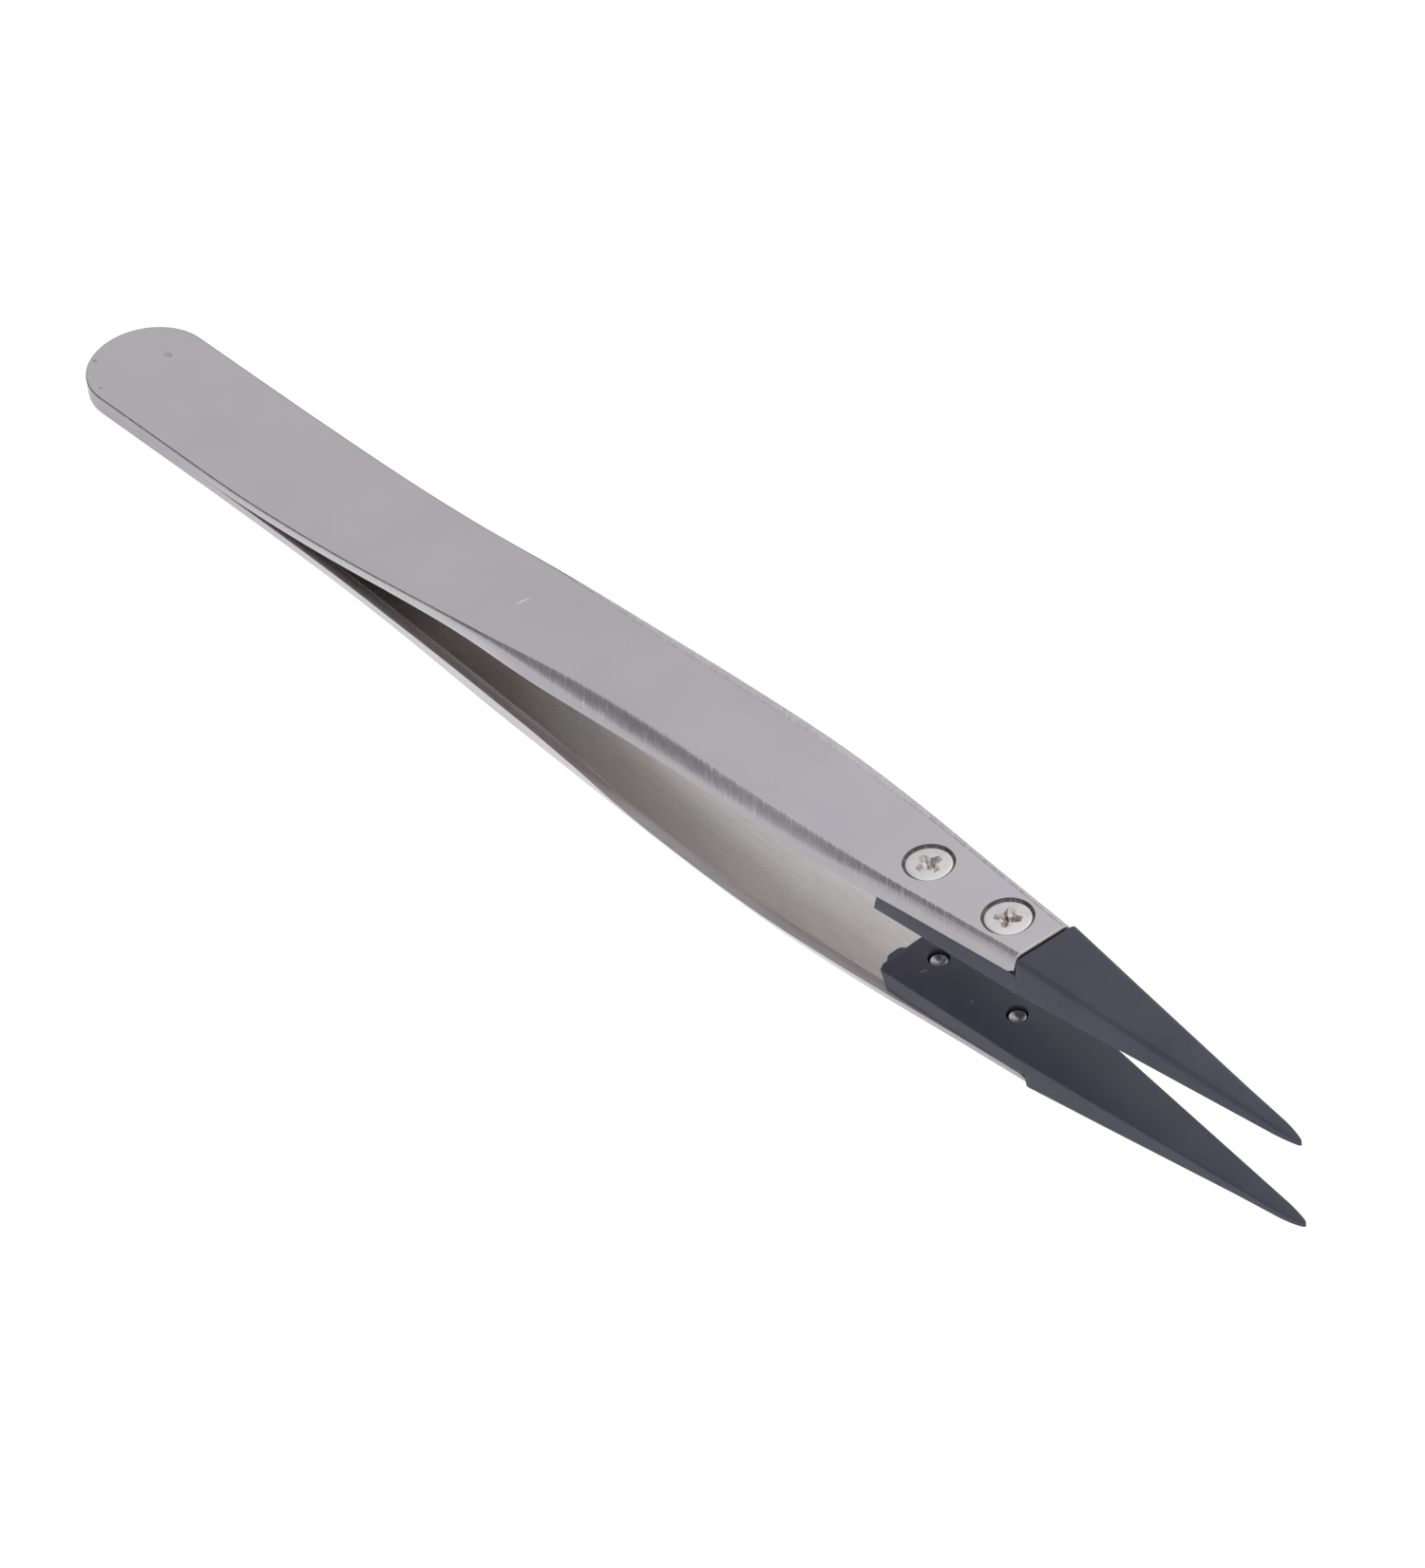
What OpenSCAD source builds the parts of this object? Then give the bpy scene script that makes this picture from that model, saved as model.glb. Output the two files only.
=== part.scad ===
// Precision tweezers with replaceable tips.
// Two sprung steel strips are welded together at the tail. Each strip's front is a shallow channel
// that carries a plastic tip, held by two countersunk screws.
// The strips are drawn about their middle plane and then laid down on the floor.

/* [Overall] */
// Length from the tail to the ends of the tips
length = 130; // [126:0.5:134]
// Length of each strip from the tail to its front edge
strip_len = 105.2; // [104.6:0.2:108]

/* [Strips] */
// Thickness of the sheet
sheet_t = 0.8; // [0.7:0.05:0.9]
// Width over the round tail
tail_w = 9.85; // [9.2:0.05:10.6]
// Width over the grip
grip_w = 8.72; // [8.3:0.02:9.2]
// Width over the front edge
front_w = 5.52; // [5.3:0.02:5.8]
// Length of the narrowing front, back from the strip's front edge to the middle of its bend
taper_len = 19.2; // [17.2:0.2:21.2]

/* [Side profile] */
// Where the strips part behind the weld
part_x = 17; // [15:0.5:19]
// Length of the bend that opens the strips
part_len = 25; // [23:1:27]
// Slope of each strip after that bend, in degrees
ramp_angle = 8; // [7.4:0.1:8.6]
// Where the strips start to bend back
close_x = 46; // [44:0.5:48]
// Length of the bend back
close_len = 37; // [34:1:40]
// Slope of each strip's straight front, in degrees
front_angle = 0.73; // [0.4:0.01:1]

/* [Pressed edges] */
// Where the strip's edges start to turn inwards
flange_x = 39; // [37:1:42]
// Length over which the turned edge reaches its full depth
flange_len = 17; // [14:1:20]
// Depth of the turned edge below the outer face
flange_h = 1.54; // [1.5:0.02:1.74]
// Radius of the outer edge along the grip
grip_edge_r = 0.62; // [0.5:0.02:0.8]
// Radius of the outer edge at the strip's front
front_edge_r = 1.45; // [1.2:0.05:1.45]

/* [Tips] */
// Length of a tip's seat in the strip, back from the strip's front edge
tip_seat = 13.5; // [13.3:0.1:14.5]
// Gap between the tips' inner faces at the front edge of the strips
jaw_front_gap = 6.4; // [6:0.1:6.8]
// Gap between the tips' ends
jaw_end_gap = 7.4; // [6.8:0.1:8]
// Width of a tip's inner face at the front edge of the strip
tip_w = 5.75; // [5.6:0.05:6]
// Width of a tip's inner face at its back end
tip_back_w = 7.35; // [7.1:0.05:7.5]
// Width of a tip's end, before it is rounded
tip_end_w = 0.65; // [0.5:0.05:1]
// Thickness of a tip's end, before it is rounded
tip_end_t = 0.56; // [0.45:0.01:0.8]
// How much narrower the outer face of a tip's point is on each side
tip_draft = 0.29; // [0.2:0.01:0.32]
// Radius of a tip's rounded end, along its length
tip_nose = 2.2; // [1.6:0.1:3]

/* [Screws] */
// Distance of the front screw from the strip's front edge
screw_edge = 3.5; // [3.3:0.1:3.7]
// Distance between the two screws of one tip
screw_pitch = 8; // [7.6:0.1:8.1]
// Diameter of the countersink's rim
sink_d = 3.8; // [3.6:0.05:3.9]
// Length of a screw, with its head
screw_len = 2.5; // [2.2:0.05:2.6]

/* [Hidden] */
$fn = 64;

steel = "#adaab0";
charcoal = "#48494f";
nickel = "#c9c6c2";

// The grip: where the tail starts to narrow, where it has narrowed, and half the length of the taper's bend
waist_x = 18;
grip_x = 50;
taper_bend = 8;
taper_x = strip_len - taper_len;
taper_slope = (grip_w - front_w) / 2 / taper_len;

// The strips bend about this line when the tips are closed
flex_x = 30;
flex_r = sheet_t / 2;
flex_gap = 0.06;

// The turned edge: sharp first, then round from edge_x, and rounder again from front_edge_x
sharp_edge_r = 0.1;
edge_x = 46;
edge_len = 16;
front_edge_back = 31.2;
front_edge_len = 26;
front_edge_x = strip_len - front_edge_back;
edge_steps = 4;
flange_fillet = 0.15;
flange_least = 0.02;

// Play between the tip and the strip that it sits in, and between the tip's point and the strip's edge
seat_gap = 0.04;
lip_gap = 0.12;
front_gap = 0.3;
step_len = 0.05;
tip_back_x = strip_len - tip_seat;
tip_ridge = 0.4;
tip_drop = 0.06;

screw_r = 1;
head_drop = 0.12;
head_play = 0.04;
shank_play = 0.05;
pilot_r = 0.8;
recess_l = 2.1;
recess_w = 0.5;
recess_h = 0.7;

weld_r = 1.3;
weld_h = 0.3;
weld_first_x = 4.5;
weld_pitch = 4.5;
weld_count = 3;

far = 200;
profile_step = 1;
lay_step = 0.5;
arm_stations = 32;
nose_steps = 4;
point_steps = 6;

// Integral of a slope that grows from 0 to 1 between a and b
function ramp(x, a, b) = x <= a ? 0 : x >= b ? x - (a + b) / 2 : (x - a) * (x - a) / (2 * (b - a));

// Smooth change from 0 to 1 between a and b
function ease(x, a, b) = let (u = min(max((x - a) / (b - a), 0), 1)) u * u * (3 - 2 * u);

function mix(a, b, u) = a + (b - a) * u;

// Height of the upper strip's outer face above the middle plane
function outer_z(x) =
    sheet_t
    + tan(ramp_angle) * ramp(x, part_x, part_x + part_len)
    - (tan(ramp_angle) - tan(front_angle)) * ramp(x, close_x, close_x + close_len);

// Half the strip's width at x, ahead of the round tail
function half_w(x) =
    tail_w / 2
    - (tail_w - grip_w) / 2 * ease(x, waist_x, grip_x)
    - taper_slope * ramp(x, taper_x - taper_bend, taper_x + taper_bend);

flex_z = outer_z(flex_x) - sheet_t / 2;

// Depth of the turned edge below the outer face, and the radius of its outer edge
function flange_z(x) = mix(sheet_t + flange_least, flange_h, ease(x, flange_x, flange_x + flange_len));
function edge_r(x) =
    mix(
        mix(sharp_edge_r, grip_edge_r, ease(x, edge_x, edge_x + edge_len)),
        front_edge_r,
        ease(x, front_edge_x, front_edge_x + front_edge_len)
    );

// The +Y half of a strip's section as [y, z], from the inside round the edge to the flat outer face.
// The outer face is at top_z, the sheet is t thick and its edge is turned down to depth.
function half_section(w, r, top_z, t, depth) =
    concat(
        [
            [w - sheet_t - flange_fillet, top_z - t],
            [w - sheet_t, top_z - depth],
            [w, top_z - depth]
        ],
        [
            for (s = [edge_steps : -1 : 0])
                let (a = 90 * s / edge_steps)
                [w - r + r * sin(a), top_z - r + r * cos(a)]
        ]
    );

function strip_ring(x) = mirrored_ring(x, half_section(half_w(x), edge_r(x), outer_z(x), sheet_t, flange_z(x)));

// Ring of the strip's round back end, a degrees from its rearmost line
function knuckle_ring(a) =
    let (t = sheet_t * sin(a))
    mirrored_ring(
        flex_x - flex_r * cos(a),
        half_section(half_w(flex_x), sharp_edge_r, flex_z + t / 2, t, t + flange_least)
    );

// Full ring from the points of its +Y half, listed from the bottom to the top
function mirrored_ring(x, half) =
    concat(
        [for (p = half) [x, -p.x, p.y]],
        [for (i = [len(half) - 1 : -1 : 0]) [x, half[i].x, half[i].y]]
    );

// Solid through a row of rings, each clockwise as seen from the front
module skin(rings) {
    n = len(rings[0]);
    last = len(rings) - 1;
    sides = [
        for (i = [0 : last - 1], j = [0 : n - 1])
            let (a = i * n + j, b = i * n + (j + 1) % n)
            each [[a, b, b + n], [a, b + n, a + n]]
    ];
    back = [for (j = [n - 1 : -1 : 0]) j];
    front = [for (j = [0 : n - 1]) last * n + j];
    polyhedron(points = [for (r = rings) each r], faces = concat(sides, [back, front]));
}

// Puts its children at a screw's place on the upper strip's outer face
module at_screw(x) {
    translate([x, 0, outer_z(x)])
        rotate([0, -front_angle, 0])
            children();
}

front_screw_x = strip_len - screw_edge;

function screw_xs() = [front_screw_x - screw_pitch, front_screw_x];

// The welded end of the upper strip, up to the line about which the strip bends
module upper_tail_shape() {
    xs = [for (x = [tail_w / 2 : profile_step : flex_x]) x];
    ends = concat(xs, [flex_x]);
    difference() {
        intersection() {
            linear_extrude(height = far) union() {
                translate([tail_w / 2, 0]) circle(d = tail_w);
                polygon(concat(
                    [for (x = ends) [x, -half_w(x)]],
                    [for (i = [len(ends) - 1 : -1 : 0]) [ends[i], half_w(ends[i])]]
                ));
            }
            rotate([90, 0, 0]) linear_extrude(height = far, center = true) tail_side();
        }
        translate([flex_x, 0, flex_z])
            rotate([90, 0, 0])
                cylinder(r = flex_r + flex_gap, h = far, center = true);
        for (i = [0 : weld_count - 1])
            translate([weld_first_x + i * weld_pitch, 0, 0])
                cylinder(r = weld_r, h = weld_h, center = true);
    }
}

// Side view of the welded end: flat, then bending away from the middle plane
module tail_side() {
    xs = concat([for (x = [part_x : profile_step : flex_x - profile_step / 2]) x], [flex_x]);
    polygon(concat(
        [[-1, 0], [-1, sheet_t]],
        [for (x = xs) [x, outer_z(x)]],
        [for (i = [len(xs) - 1 : -1 : 0]) [xs[i], outer_z(xs[i]) - sheet_t]]
    ));
}

// The sprung part of the upper strip, with a round back end at the bending line
module upper_arm_shape() {
    knuckle = [for (a = [30, 60]) knuckle_ring(a)];
    strip = [for (i = [0 : arm_stations]) strip_ring(mix(flex_x, strip_len, i / arm_stations))];
    difference() {
        skin(concat(knuckle, strip));
        for (x = screw_xs()) at_screw(x) countersink();
    }
}

// Countersunk hole through the sheet, down from the outer face
module countersink() {
    translate([0, 0, -sink_d / 2]) cylinder(h = sink_d, r1 = 0, r2 = sink_d);
    translate([0, 0, -flange_h]) cylinder(h = flange_h, r = screw_r + shank_play + head_play);
}

// The tip: inner face, outer face and half width of the inner face along its length
function jaw_z(x) = mix(jaw_front_gap, jaw_end_gap, (x - strip_len) / (length - strip_len)) / 2;
function point_z(x) =
    mix(outer_z(strip_len) - tip_drop, jaw_end_gap / 2 + tip_end_t, (x - strip_len) / (length - strip_len));
function tip_half_w(x) =
    x < strip_len
    ? mix(tip_back_w, tip_w, (x - tip_back_x) / (strip_len - tip_back_x)) / 2
    : mix(tip_w, tip_end_w, (x - strip_len) / (length - strip_len)) / 2;

// Section inside the strip's channel: a block below the turned edges and a tongue between them
function seat_ring(x) =
    let (
        wall_x = min(x, strip_len),
        jaw_w = tip_half_w(x),
        tongue_w = half_w(wall_x) - sheet_t - flange_fillet - lip_gap,
        lip_z = outer_z(wall_x) - flange_h - lip_gap,
        top_z = outer_z(x) - sheet_t - seat_gap
    )
    mirrored_ring(x, [[jaw_w, jaw_z(x)], [jaw_w, lip_z], [tongue_w, lip_z], [tongue_w, top_z]]);

// Section of the bare point: flat inner face, drafted sides, bevelled outer edges; round is 1 before the nose
function point_ring(x, round) =
    let (
        jaw_w = tip_half_w(x) * round,
        thick = (point_z(x) - jaw_z(x)) * mix(0.4, 1, round),
        draft = tip_draft * round * tip_half_w(x) / (tip_w / 2),
        ridge = min(tip_ridge, jaw_w * 0.5, thick * 0.4),
        z = jaw_z(x)
    )
    mirrored_ring(x, [
        [jaw_w, z],
        [jaw_w - draft * 0.5, z + (thick - ridge) * 0.5],
        [jaw_w - draft, z + thick - ridge],
        [jaw_w - draft - ridge * 0.7, z + thick]
    ]);

module upper_tip_shape() {
    step_x = strip_len + front_gap;
    nose_x = length - tip_nose;
    seat = [for (x = [tip_back_x, (tip_back_x + strip_len) / 2, strip_len, step_x]) seat_ring(x)];
    point = [
        for (i = [0 : point_steps])
            point_ring(mix(step_x + step_len, nose_x, i / point_steps), 1)
    ];
    nose = [
        for (i = [1 : nose_steps])
            let (a = 80 * i / nose_steps)
            point_ring(nose_x + tip_nose * sin(a) / sin(80), cos(a))
    ];
    difference() {
        skin(concat(seat, point, nose));
        for (x = screw_xs()) at_screw(x) {
            translate([0, 0, -screw_len - head_drop - shank_play])
                cylinder(h = far, r = screw_r + shank_play);
            translate([0, 0, -far / 2]) cylinder(h = far, r = pilot_r);
        }
    }
}

// Countersunk screw with a cross recess, its head a little below the strip's outer face
module screw() {
    head_r = sink_d / 2 - head_drop - head_play;
    difference() {
        translate([0, 0, -head_drop])
            rotate_extrude()
                polygon([
                    [0, 0],
                    [head_r, 0],
                    [screw_r, screw_r - head_r],
                    [screw_r, -screw_len],
                    [0, -screw_len]
                ]);
        for (a = [45, 135])
            rotate([0, 0, a])
                translate([0, 0, -head_drop - recess_h / 2 + 0.5])
                    cube([recess_l, recess_w, recess_h + 1], center = true);
    }
}

// Turns the part so that it lies on its tail and on the lower strip's belly, centred over the origin
lay_angle = max([for (x = [close_x : lay_step : strip_len]) atan((outer_z(x) - sheet_t) / x)]);
lay_lift = sheet_t * cos(lay_angle);
lay_mid = (length * cos(lay_angle) + (jaw_end_gap / 2 - sheet_t) * sin(lay_angle)) / 2;

module lay_down() {
    translate([-lay_mid, 0, lay_lift])
        rotate([0, -lay_angle, 0])
            children();
}

module lower() {
    mirror([0, 0, 1]) children();
}

module upper_arm_tail() {
    color(steel) lay_down() upper_tail_shape();
}

module lower_arm_tail() {
    color(steel) lay_down() lower() upper_tail_shape();
}

// Spot welds between the two strips
module tail_weld() {
    color(steel) lay_down()
        for (i = [0 : weld_count - 1])
            translate([weld_first_x + i * weld_pitch, 0, 0])
                cylinder(r = weld_r, h = weld_h, center = true);
}

module upper_arm() {
    color(steel) lay_down() upper_arm_shape();
}

module lower_arm() {
    color(steel) lay_down() lower() upper_arm_shape();
}

module upper_tip() {
    color(charcoal) lay_down() upper_tip_shape();
}

module lower_tip() {
    color(charcoal) lay_down() lower() upper_tip_shape();
}

module upper_screw(i) {
    color(nickel) lay_down() at_screw(screw_xs()[i]) screw();
}

module lower_screw(i) {
    color(nickel) lay_down() lower() at_screw(screw_xs()[i]) screw();
}

module upper_rear_screw() {
    upper_screw(0);
}

module upper_front_screw() {
    upper_screw(1);
}

module lower_rear_screw() {
    lower_screw(0);
}

module lower_front_screw() {
    lower_screw(1);
}

upper_arm_tail();
lower_arm_tail();
tail_weld();
upper_arm();
lower_arm();
upper_tip();
lower_tip();
upper_rear_screw();
upper_front_screw();
lower_rear_screw();
lower_front_screw();
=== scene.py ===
"""Looks of the precision tweezers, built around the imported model.

The strips, tips and screws are drawn in the strips' own middle-plane frame, in millimetres,
with x from the tail to the tips, and are then laid down in the model's frame, in metres.
"""
import math

import bmesh
import bpy
import numpy as np
from mathutils import Matrix, Vector


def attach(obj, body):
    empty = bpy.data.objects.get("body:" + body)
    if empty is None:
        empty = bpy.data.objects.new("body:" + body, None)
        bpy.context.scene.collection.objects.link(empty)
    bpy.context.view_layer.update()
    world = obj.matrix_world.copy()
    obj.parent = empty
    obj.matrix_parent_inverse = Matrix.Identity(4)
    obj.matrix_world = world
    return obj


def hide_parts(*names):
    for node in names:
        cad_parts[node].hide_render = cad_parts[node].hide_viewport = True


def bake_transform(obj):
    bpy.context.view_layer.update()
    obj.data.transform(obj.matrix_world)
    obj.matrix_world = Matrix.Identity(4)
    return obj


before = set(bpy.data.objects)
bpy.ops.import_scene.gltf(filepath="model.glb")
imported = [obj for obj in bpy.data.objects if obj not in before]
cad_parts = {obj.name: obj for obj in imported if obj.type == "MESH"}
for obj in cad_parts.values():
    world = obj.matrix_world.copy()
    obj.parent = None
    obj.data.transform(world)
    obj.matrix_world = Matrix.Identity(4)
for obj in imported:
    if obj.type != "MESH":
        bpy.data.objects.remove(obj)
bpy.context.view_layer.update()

# Sizes of the model, in millimetres and degrees
LENGTH = 130
STRIP_LEN = 105.2
SHEET_T = 0.8
TAIL_W, GRIP_W, FRONT_W = 9.85, 8.72, 5.52
WAIST_X, GRIP_X = 18, 50
TAPER_LEN, TAPER_BEND = 19.2, 8
PART_X, PART_LEN, RAMP_ANGLE = 17, 25, 8
CLOSE_X, CLOSE_LEN, FRONT_ANGLE = 46, 37, 0.73
FLANGE_X = 39
SHARP_R, GRIP_R, FRONT_R = 0.1, 0.62, 1.45
EDGE_X, EDGE_LEN = 46, 16
FRONT_EDGE_X, FRONT_EDGE_LEN = 74, 26
TIP_BACK_X = 91.7
JAW_FRONT_GAP, JAW_END_GAP = 6.4, 7.4
TIP_BACK_W, TIP_W, TIP_END_W, TIP_END_T = 7.35, 5.90, 0.74, 0.56
TIP_DRAFT, TIP_NOSE, TIP_DROP = 0.29, 2.2, 0.06
SEAT_GAP = 0.04
SCREW_XS = (93.7, 101.7)
SINK_R, HEAD_DROP, SCREW_LEN, SHANK_R, PILOT_R = 1.9, 0.15, 2.5, 1.0, 0.8

# The turned edge along a strip: (x, radius of its bend, angle it turns through, depth of its lower end,
# part of the angle that is left to the lip below the bend)
TURNED_EDGE = (
    (40, 0.12, 90, 0.82, 0),
    (46, 0.14, 90, 1.07, 0),
    (50, 0.30, 89, 1.33, 0),
    (53, 0.65, 87, 1.50, 0),
    (57, 1.05, 83, 1.58, 0),
    (62, 1.42, 75, 1.45, 0),
    (68, 1.60, 67, 1.27, 0),
    (74, 1.50, 66, 1.22, 0),
    (79, 1.40, 69, 1.28, 0),
    (84, 1.36, 71, 1.38, 0),
    (88, 1.20, 73, 1.42, 6),
    (91, 0.90, 77, 1.38, 16),
    (94, 0.70, 80, 1.36, 25),
    (98, 0.62, 80, 1.38, 26),
    (105, 0.66, 80, 1.38, 26),
)
# the table's values are averaged over this distance to both sides
EDGE_BLUR, BLUR_SAMPLES = 1.6, 9
# the lower strip's edge starts to turn a little further forward, from the first stretch to the second
LOWER_LAG = 3.5
LAG_FROM, LAG_TO = (48, 54), (60, 70)


def tand(a):
    return math.tan(math.radians(a))


def ramp(x, a, b):
    """Integral of a slope that grows from 0 to 1 between a and b."""
    if x <= a:
        return 0.0
    return x - (a + b) / 2 if x >= b else (x - a) ** 2 / (2 * (b - a))


def ease(x, a, b):
    """Smooth step from 0 at a to 1 at b."""
    u = min(max((x - a) / (b - a), 0), 1)
    return u * u * (3 - 2 * u)


def mix(a, b, u):
    return a + (b - a) * u


def outer_z(x):
    """Height of a strip's outer face above the middle plane."""
    back = (tand(RAMP_ANGLE) - tand(FRONT_ANGLE)) * ramp(x, CLOSE_X, CLOSE_X + CLOSE_LEN)
    return SHEET_T + tand(RAMP_ANGLE) * ramp(x, PART_X, PART_X + PART_LEN) - back


def half_w(x):
    """Half width of a strip of the model."""
    taper_x = STRIP_LEN - TAPER_LEN
    narrowing = (GRIP_W - FRONT_W) / 2 / TAPER_LEN * ramp(x, taper_x - TAPER_BEND, taper_x + TAPER_BEND)
    return TAIL_W / 2 - (TAIL_W - GRIP_W) / 2 * ease(x, WAIST_X, GRIP_X) - narrowing


def edge_r(x):
    """Radius of the turned edge of a strip of the model."""
    grip = mix(SHARP_R, GRIP_R, ease(x, EDGE_X, EDGE_X + EDGE_LEN))
    return mix(grip, FRONT_R, ease(x, FRONT_EDGE_X, FRONT_EDGE_X + FRONT_EDGE_LEN))


def jaw_z(x):
    """Height of a tip's jaw face above the middle plane."""
    return mix(JAW_FRONT_GAP, JAW_END_GAP, (x - STRIP_LEN) / (LENGTH - STRIP_LEN)) / 2


def point_z(x):
    """Height of the outer face of a tip's bare point."""
    u = (x - STRIP_LEN) / (LENGTH - STRIP_LEN)
    return mix(outer_z(STRIP_LEN) - TIP_DROP, JAW_END_GAP / 2 + TIP_END_T, u)


def tip_half_w(x):
    """Half width of a tip at its jaw face."""
    if x < STRIP_LEN:
        return mix(TIP_BACK_W, TIP_W, (x - TIP_BACK_X) / (STRIP_LEN - TIP_BACK_X)) / 2
    return mix(TIP_W, TIP_END_W, (x - STRIP_LEN) / (LENGTH - STRIP_LEN)) / 2


# The part lies on its tail and on the lower strip's belly, which is looked for in small steps
BELLY_STEP, BELLY_TRIES = 0.5, 119
BELLY_XS = [CLOSE_X + i * BELLY_STEP for i in range(BELLY_TRIES)]
LAY = max(math.atan((outer_z(x) - SHEET_T) / x) for x in BELLY_XS)
LIFT = SHEET_T * math.cos(LAY)
MID = (LENGTH * math.cos(LAY) + (JAW_END_GAP / 2 - SHEET_T) * math.sin(LAY)) / 2


def in_model(p):
    """A point of the strips' own frame, in mm, as a point of the model's frame, in metres."""
    x, y, z = p
    return Vector((
        x * math.cos(LAY) - z * math.sin(LAY) - MID,
        y,
        x * math.sin(LAY) + z * math.cos(LAY) + LIFT,
    )) / 1000


def model_direction(d):
    """A direction of the strips' own frame in the model's frame."""
    x, y, z = d
    return Vector((
        x * math.cos(LAY) - z * math.sin(LAY),
        y,
        x * math.sin(LAY) + z * math.cos(LAY),
    )).normalized()


# Camera, as fitted to the photograph
IMAGE_W, IMAGE_H = 1500, 1650
FOCAL_PX = 7801.93
CAM_AT = (383.93, -233.78, 356.92)
CAM_RIGHT = (0.6595, 0.7462, -0.0909)
CAM_DOWN = (0.4639, -0.4992, -0.7318)
SENSOR = 36.0
CLIP_NEAR, CLIP_FAR = 0.01, 20

camera_data = bpy.data.cameras.new("camera")
camera_data.sensor_width = SENSOR
camera_data.lens = FOCAL_PX * SENSOR / max(IMAGE_W, IMAGE_H)
camera_data.clip_start = CLIP_NEAR
camera_data.clip_end = CLIP_FAR
camera = bpy.data.objects.new("camera", camera_data)
bpy.context.scene.collection.objects.link(camera)
right = model_direction(CAM_RIGHT)
up = -model_direction(CAM_DOWN)
up = (up - right * up.dot(right)).normalized()
back = right.cross(up)
turn = Matrix((right, up, back)).transposed()
camera.matrix_world = Matrix.Translation(in_model(CAM_AT)) @ turn.to_4x4()
bpy.context.scene.camera = camera
bpy.context.scene.view_settings.view_transform = "Standard"


# Mesh helpers
# distances in metres at which points are joined and faces count as degenerate
MERGE_DIST, DEGENERATE_DIST = 2e-6, 1e-6
# angles in degrees above which an edge is drawn sharp
SHARP_ANGLE, STRIP_SHARP_ANGLE = 32, 40
# largest share of an outline's side that a corner's round may take
CORNER_SHARE = 0.48


def new_object(name, verts, faces, mirrored=False, sharp=SHARP_ANGLE, zones=None):
    """A mesh piece from points in the strips' own frame; a mirrored one is the lower of a pair."""
    mesh = bpy.data.meshes.new(name)
    if mirrored:
        verts = [(x, y, -z) for x, y, z in verts]
        faces = [f[::-1] for f in faces]
    mesh.from_pydata([in_model(v) for v in verts], [], faces)
    mesh.validate()
    if zones:
        attribute = mesh.attributes.new("zone", "FLOAT_COLOR", "POINT")
        attribute.data.foreach_set("color", np.array(zones, dtype=np.float32).ravel())
    obj = bpy.data.objects.new(name, mesh)
    bpy.context.scene.collection.objects.link(obj)
    clean(obj, sharp)
    return obj


def clean(obj, sharp):
    """Joins doubled points, turns the faces outwards and marks the edges sharper than this angle."""
    bm = bmesh.new()
    bm.from_mesh(obj.data)
    bmesh.ops.remove_doubles(bm, verts=bm.verts, dist=MERGE_DIST)
    bmesh.ops.dissolve_degenerate(bm, edges=bm.edges, dist=DEGENERATE_DIST)
    bmesh.ops.recalc_face_normals(bm, faces=bm.faces)
    for f in bm.faces:
        f.smooth = True
    for e in bm.edges:
        e.smooth = len(e.link_faces) == 2 and e.calc_face_angle(0) < math.radians(sharp)
    bm.to_mesh(obj.data)
    bm.free()
    obj.data.update()


def skin(rings, name, mirrored=False, sharp=SHARP_ANGLE, zones=None, end_faces=None):
    """Closed piece through a row of rings with as many points each; end_faces splits its last face."""
    n = len(rings[0])
    verts = [p for r in rings for p in r]
    faces = []
    for i in range(len(rings) - 1):
        for j in range(n):
            a, b = i * n + j, i * n + (j + 1) % n
            faces.append((a, b, b + n, a + n))
    last = (len(rings) - 1) * n
    faces.append(tuple(range(n - 1, -1, -1)))
    for face in end_faces or [range(n)]:
        faces.append(tuple(last + j for j in face))
    flat_zones = [z for ring in zones for z in ring] if zones else None
    return new_object(name, verts, faces, mirrored, sharp, flat_zones)


def lathe(profile, name, at, tilt, segments, mirrored):
    """Closed turned piece: profile is (radius, height) from the axis round to the axis."""
    verts, faces = [], []
    for s in range(segments):
        a = 2 * math.pi * (s + 0.5) / segments
        for r, h in profile:
            verts.append((r * math.cos(a), r * math.sin(a), h))
    n = len(profile)
    for s in range(segments):
        t = (s + 1) % segments
        for k in range(n - 1):
            faces.append((s * n + k, t * n + k, t * n + k + 1, s * n + k + 1))
    return new_object(name, [place(v, at, tilt) for v in verts], faces, mirrored)


def place(v, at, tilt):
    """A point of a screw's own frame, turned by the strip's slope and put at its place."""
    c, s = math.cos(math.radians(tilt)), math.sin(math.radians(tilt))
    x, y, z = v
    return (at[0] + c * x - s * z, at[1] + y, at[2] + s * x + c * z)


def boolean(obj, cutter, operation, sharp=SHARP_ANGLE):
    """Applies one boolean and deletes the cutter."""
    modifier = obj.modifiers.new("cut", "BOOLEAN")
    modifier.operation = operation
    modifier.solver = "MANIFOLD"
    modifier.object = cutter
    graph = bpy.context.evaluated_depsgraph_get()
    made = bpy.data.meshes.new_from_object(obj.evaluated_get(graph))
    obj.modifiers.clear()
    old = obj.data
    obj.data = made
    made.name = obj.name
    bpy.data.meshes.remove(old)
    spent = cutter.data
    bpy.data.objects.remove(cutter)
    bpy.data.meshes.remove(spent)
    clean(obj, sharp)


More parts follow.
